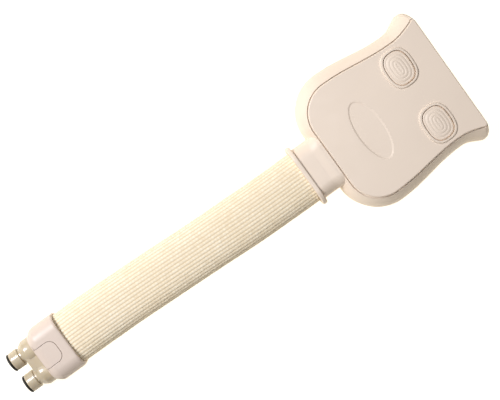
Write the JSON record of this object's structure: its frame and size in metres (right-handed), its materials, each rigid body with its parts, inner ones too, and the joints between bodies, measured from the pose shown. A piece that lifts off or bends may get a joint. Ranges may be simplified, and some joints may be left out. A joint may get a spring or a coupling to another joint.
{
  "type": "two-button hose coupler",
  "caption": "Latching hose coupler: a flat two-button head joined by a bendy knitted sleeve to an end cap with a press tab and sealed spigots.",
  "frame": {"origin": "middle of the object's footprint, on the surface that its back lies on", "axes": "+X along the length towards the head's flat end with the sockets, +Z out of the button face, +Y to the left button"},
  "size_m": [0.3232, 0.0944, 0.0282],
  "materials": {
    "shell_plastic": "satin moulded plastic, warm pink-beige",
    "sleeve_knit": "ribbed knitted cord sleeve, cream",
    "spigot_plastic": "slightly translucent greenish beige moulding",
    "valve_plastic": "white acetal",
    "seal_rubber": "black rubber",
    "hose_rubber": "off-white silicone hose",
    "lagging_foam": "white closed-cell foam",
    "steel": "stainless"
  },
  "bodies": {
    "head": {"head_upper_shell": "shell_plastic", "head_lower_shell": "shell_plastic", "face_plate": "shell_plastic", "sleeve_collar": "shell_plastic", "sleeve_head_half": "sleeve_knit", "head_screw_1": "steel", "head_screw_2": "steel", "head_screw_3": "steel", "head_screw_4": "steel", "socket_left": "valve_plastic", "socket_seal_left": "seal_rubber", "socket_valve_spring_left": "steel", "latch_spring_left": "steel", "hose_left": "hose_rubber", "hose_lagging_left": "lagging_foam", "hose_clamp_head_left": "steel", "socket_right": "valve_plastic", "socket_seal_right": "seal_rubber", "socket_valve_spring_right": "steel", "latch_spring_right": "steel", "hose_right": "hose_rubber", "hose_lagging_right": "lagging_foam", "hose_clamp_head_right": "steel"},
    "plug": {"end_cap_upper": "shell_plastic", "end_cap_lower": "shell_plastic", "sleeve_plug_half": "sleeve_knit", "spigot_block": "spigot_plastic", "release_tab_pin": "steel", "release_tab_spring": "steel", "tip_seal_left": "seal_rubber", "spigot_valve_spring_left": "steel", "hose_clamp_plug_left": "steel", "tip_seal_right": "seal_rubber", "spigot_valve_spring_right": "steel", "hose_clamp_plug_right": "steel"},
    "release_tab": {"release_tab": "shell_plastic"},
    "button_left": {"button_left": "shell_plastic", "latch_plate_left": "steel"},
    "socket_valve_left": {"socket_valve_left": "valve_plastic"},
    "spigot_valve_left": {"spigot_valve_left": "valve_plastic"},
    "button_right": {"button_right": "shell_plastic", "latch_plate_right": "steel"},
    "socket_valve_right": {"socket_valve_right": "valve_plastic"},
    "spigot_valve_right": {"spigot_valve_right": "valve_plastic"}
  },
  "joints": [
    {"name": "sleeve_bend", "type": "hinge", "parent": "head", "child": "plug", "pos_m": [-0.036, 0.00243, 0.0135], "axis": [0, 0, 1], "range_deg": [-25, 25], "stiffness_Nm_per_rad": 0.4, "deforming": ["sleeve_head_half", "sleeve_plug_half", "hose_left", "hose_right", "hose_lagging_left", "hose_lagging_right"]},
    {"name": "release_tab_press", "type": "hinge", "parent": "plug", "child": "release_tab", "pos_m": [-0.1411, 0.005, 0.024], "axis": [0, 1, 0], "range_deg": [0, 6], "stiffness_Nm_per_rad": 0.05, "springref_deg": -8.59, "deforming": ["release_tab_spring"]},
    {"name": "button_left_press", "type": "slide", "parent": "head", "child": "button_left", "axis": [0, 0, -1], "range_m": [0, 0.0022], "stiffness_N_per_m": 600, "springref_m": -0.003, "deforming": ["latch_spring_left"]},
    {"name": "socket_valve_left_open", "type": "slide", "parent": "head", "child": "socket_valve_left", "axis": [-1, 0, 0], "range_m": [0, 0.003], "stiffness_N_per_m": 300, "springref_m": -0.003, "deforming": ["socket_valve_spring_left"]},
    {"name": "spigot_valve_left_open", "type": "slide", "parent": "plug", "child": "spigot_valve_left", "axis": [1, 0, 0], "range_m": [0, 0.003], "stiffness_N_per_m": 300, "springref_m": -0.003, "deforming": ["spigot_valve_spring_left"]},
    {"name": "button_right_press", "type": "slide", "parent": "head", "child": "button_right", "axis": [0, 0, -1], "range_m": [0, 0.0022], "stiffness_N_per_m": 600, "springref_m": -0.003, "deforming": ["latch_spring_right"]},
    {"name": "socket_valve_right_open", "type": "slide", "parent": "head", "child": "socket_valve_right", "axis": [-1, 0, 0], "range_m": [0, 0.003], "stiffness_N_per_m": 300, "springref_m": -0.003, "deforming": ["socket_valve_spring_right"]},
    {"name": "spigot_valve_right_open", "type": "slide", "parent": "plug", "child": "spigot_valve_right", "axis": [1, 0, 0], "range_m": [0, 0.003], "stiffness_N_per_m": 300, "springref_m": -0.003, "deforming": ["spigot_valve_spring_right"]}
  ]
}
